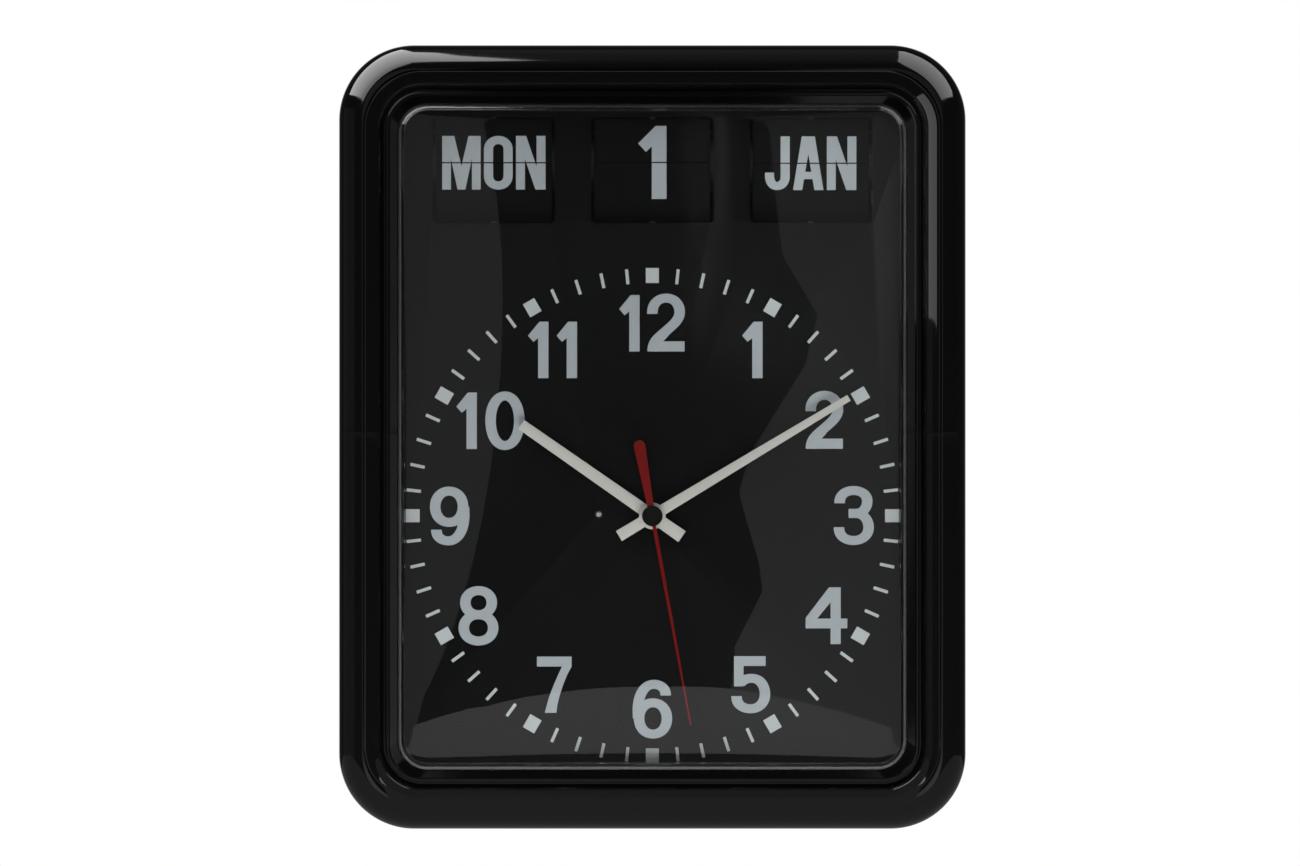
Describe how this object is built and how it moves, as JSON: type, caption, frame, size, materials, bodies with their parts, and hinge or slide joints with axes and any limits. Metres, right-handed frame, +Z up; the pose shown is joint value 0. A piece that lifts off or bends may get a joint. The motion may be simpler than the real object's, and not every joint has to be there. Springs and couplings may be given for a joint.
{
  "type": "radio-controlled calendar wall clock",
  "caption": "Upright rounded wall clock with a glossy bezel, clear lens, black analogue dial with hands, and split-flap windows for weekday, date and month.",
  "frame": {"origin": "centre of the round hole of the hanger plate, on the wall plane", "axes": "+X to the right seen from the front, +Y into the wall, +Z up; the dial faces -Y"},
  "size_m": [0.32, 0.088, 0.4],
  "materials": {
    "gloss_black_case": "high gloss moulding",
    "clear_lens": "clear polished acrylic",
    "dial_black": "smooth satin black",
    "cover_black": "fine spark texture",
    "door_black": "fine spark texture",
    "screw_steel": "zinc plated",
    "spring_steel": "bright",
    "hand_white": "satin off-white paint",
    "hand_red": "satin red paint",
    "cap_black": "satin",
    "wheel_resin": "natural acetal",
    "magnet_dark": "sintered magnet",
    "housing_black": "fine grain",
    "plate_resin": "natural resin",
    "board_green": "solder mask",
    "stator_steel": "punched sheet",
    "copper_wire": "enamelled winding",
    "lamp_clear": "clear epoxy",
    "nut_brass": "turned",
    "ferrite": "sintered ferrite",
    "leaf_black": "satin film",
    "drum_resin": "natural acetal",
    "frame_black": "moulded",
    "motor_can": "drawn can",
    "switch_black": "moulded",
    "button_grey": "moulded",
    "cell_jacket": "printed jacket, bare"
  },
  "bodies": {
    "clock": {"front_case": "gloss_black_case", "window_lens": "clear_lens", "dial_plate": "dial_black", "dial_screws": "screw_steel", "rear_cover": "cover_black", "case_screws": "screw_steel", "hanger_plate": "spring_steel", "hanger_screws": "screw_steel", "movement_front_housing": "housing_black", "movement_rear_housing": "housing_black", "movement_middle_plate": "plate_resin", "movement_board": "board_green", "motor_stators": "stator_steel", "motor_coils": "copper_wire", "indicator_led": "lamp_clear", "mounting_washer": "spring_steel", "mounting_nut": "nut_brass", "antenna_core": "ferrite", "antenna_coil": "copper_wire", "calendar_frame": "frame_black", "calendar_screws": "screw_steel", "calendar_shaft": "spring_steel", "calendar_motors": "motor_can", "leaf_stop_springs": "spring_steel", "main_board": "board_green", "board_screws": "screw_steel", "tact_switches": "switch_black", "battery_cells": "cell_jacket", "battery_contacts": "spring_steel", "day_leaves": "leaf_black", "date_leaves": "leaf_black", "month_leaves": "leaf_black"},
    "hour_group": {"hour_hand": "hand_white", "hour_wheel": "wheel_resin"},
    "minute_group": {"minute_hand": "hand_white", "minute_wheel": "wheel_resin"},
    "second_group": {"second_hand": "hand_red", "second_hand_cap": "cap_black", "second_wheel": "wheel_resin"},
    "motion_work": {"motion_wheel": "wheel_resin"},
    "minute_train": {"minute_train_wheel": "wheel_resin"},
    "second_train": {"second_train_wheel": "wheel_resin"},
    "minute_motor": {"minute_rotor": "magnet_dark"},
    "second_motor": {"second_rotor": "magnet_dark"},
    "battery_lid": {"battery_door": "door_black"},
    "day_flap": {"day_falling_leaf": "leaf_black"},
    "day_reel": {"day_drum": "drum_resin"},
    "day_drive": {"day_pinion": "wheel_resin"},
    "date_flap": {"date_falling_leaf": "leaf_black"},
    "date_reel": {"date_drum": "drum_resin"},
    "date_drive": {"date_pinion": "wheel_resin"},
    "month_flap": {"month_falling_leaf": "leaf_black"},
    "month_reel": {"month_drum": "drum_resin"},
    "month_drive": {"month_pinion": "wheel_resin"},
    "day_set_button_key": {"day_set_button": "button_grey"},
    "date_set_button_key": {"date_set_button": "button_grey"},
    "month_set_button_key": {"month_set_button": "button_grey"},
    "receive_button_key": {"receive_button": "button_grey"},
    "time_set_button_key": {"time_set_button": "button_grey"},
    "reset_button_key": {"reset_button": "button_grey"}
  },
  "joints": [
    {"name": "minute_spin", "type": "hinge", "parent": "clock", "child": "minute_group", "pos_m": [0, -0.06, -0.2125], "axis": [0, 1, 0], "continuous": true},
    {"name": "hour_spin", "type": "hinge", "parent": "clock", "child": "hour_group", "pos_m": [0, -0.06, -0.2125], "axis": [0, 1, 0], "continuous": true},
    {"name": "second_spin", "type": "hinge", "parent": "clock", "child": "second_group", "pos_m": [0, -0.06, -0.2125], "axis": [0, 1, 0], "continuous": true},
    {"name": "motion_work_spin", "type": "hinge", "parent": "clock", "child": "motion_work", "pos_m": [-0.00906, -0.054, -0.21673], "axis": [0, 1, 0], "continuous": true},
    {"name": "minute_train_spin", "type": "hinge", "parent": "clock", "child": "minute_train", "pos_m": [-0.01125, -0.048, -0.19909], "axis": [0, 1, 0], "continuous": true},
    {"name": "minute_motor_spin", "type": "hinge", "parent": "clock", "child": "minute_motor", "pos_m": [-0.01703, -0.044, -0.1922], "axis": [0, 1, 0], "continuous": true},
    {"name": "second_train_spin", "type": "hinge", "parent": "clock", "child": "second_train", "pos_m": [0.009, -0.048, -0.22323], "axis": [0, 1, 0], "continuous": true},
    {"name": "second_motor_spin", "type": "hinge", "parent": "clock", "child": "second_motor", "pos_m": [0.01478, -0.044, -0.23012], "axis": [0, 1, 0], "continuous": true},
    {"name": "day_leaf_fall", "type": "hinge", "parent": "clock", "child": "day_flap", "pos_m": [-0.0816, -0.056, -0.02929], "axis": [1, 0, 0], "range_deg": [0, 180]},
    {"name": "day_drum_spin", "type": "hinge", "parent": "clock", "child": "day_reel", "pos_m": [-0.0816, -0.042, -0.02929], "axis": [1, 0, 0], "continuous": true},
    {"name": "day_pinion_spin", "type": "hinge", "parent": "clock", "child": "day_drive", "pos_m": [-0.0486, -0.042, -0.04729], "axis": [1, 0, 0], "continuous": true},
    {"name": "date_leaf_fall", "type": "hinge", "parent": "clock", "child": "date_flap", "pos_m": [0, -0.056, -0.02929], "axis": [1, 0, 0], "range_deg": [0, 180]},
    {"name": "date_drum_spin", "type": "hinge", "parent": "clock", "child": "date_reel", "pos_m": [0, -0.042, -0.02929], "axis": [1, 0, 0], "continuous": true},
    {"name": "date_pinion_spin", "type": "hinge", "parent": "clock", "child": "date_drive", "pos_m": [0.033, -0.042, -0.04729], "axis": [1, 0, 0], "continuous": true},
    {"name": "month_leaf_fall", "type": "hinge", "parent": "clock", "child": "month_flap", "pos_m": [0.0816, -0.056, -0.02929], "axis": [1, 0, 0], "range_deg": [0, 180]},
    {"name": "month_drum_spin", "type": "hinge", "parent": "clock", "child": "month_reel", "pos_m": [0.0816, -0.042, -0.02929], "axis": [1, 0, 0], "continuous": true},
    {"name": "month_pinion_spin", "type": "hinge", "parent": "clock", "child": "month_drive", "pos_m": [0.1146, -0.042, -0.04729], "axis": [1, 0, 0], "continuous": true},
    {"name": "battery_door_hinge", "type": "hinge", "parent": "clock", "child": "battery_lid", "pos_m": [0, -0.0032, -0.3369], "axis": [-1, 0, 0], "range_deg": [0, 85]},
    {"name": "day_set_button_press", "type": "slide", "parent": "clock", "child": "day_set_button_key", "axis": [0, -1, 0], "range_m": [0, 0.001], "stiffness_N_per_m": 200},
    {"name": "date_set_button_press", "type": "slide", "parent": "clock", "child": "date_set_button_key", "axis": [0, -1, 0], "range_m": [0, 0.001], "stiffness_N_per_m": 200},
    {"name": "month_set_button_press", "type": "slide", "parent": "clock", "child": "month_set_button_key", "axis": [0, -1, 0], "range_m": [0, 0.001], "stiffness_N_per_m": 200},
    {"name": "receive_button_press", "type": "slide", "parent": "clock", "child": "receive_button_key", "axis": [0, -1, 0], "range_m": [0, 0.001], "stiffness_N_per_m": 200},
    {"name": "time_set_button_press", "type": "slide", "parent": "clock", "child": "time_set_button_key", "axis": [0, -1, 0], "range_m": [0, 0.001], "stiffness_N_per_m": 200},
    {"name": "reset_button_press", "type": "slide", "parent": "clock", "child": "reset_button_key", "axis": [0, -1, 0], "range_m": [0, 0.001], "stiffness_N_per_m": 200}
  ],
  "couplings": [
    {"joint": "hour_spin", "follows": "minute_spin", "ratio": 0.083333},
    {"joint": "motion_work_spin", "follows": "minute_spin", "ratio": -0.33333},
    {"joint": "minute_train_spin", "follows": "minute_spin", "ratio": -6},
    {"joint": "minute_motor_spin", "follows": "minute_spin", "ratio": 30},
    {"joint": "second_train_spin", "follows": "second_spin", "ratio": -6},
    {"joint": "second_motor_spin", "follows": "second_spin", "ratio": 30},
    {"joint": "day_pinion_spin", "follows": "day_drum_spin", "ratio": -4},
    {"joint": "date_pinion_spin", "follows": "date_drum_spin", "ratio": -4},
    {"joint": "month_pinion_spin", "follows": "month_drum_spin", "ratio": -4}
  ]
}
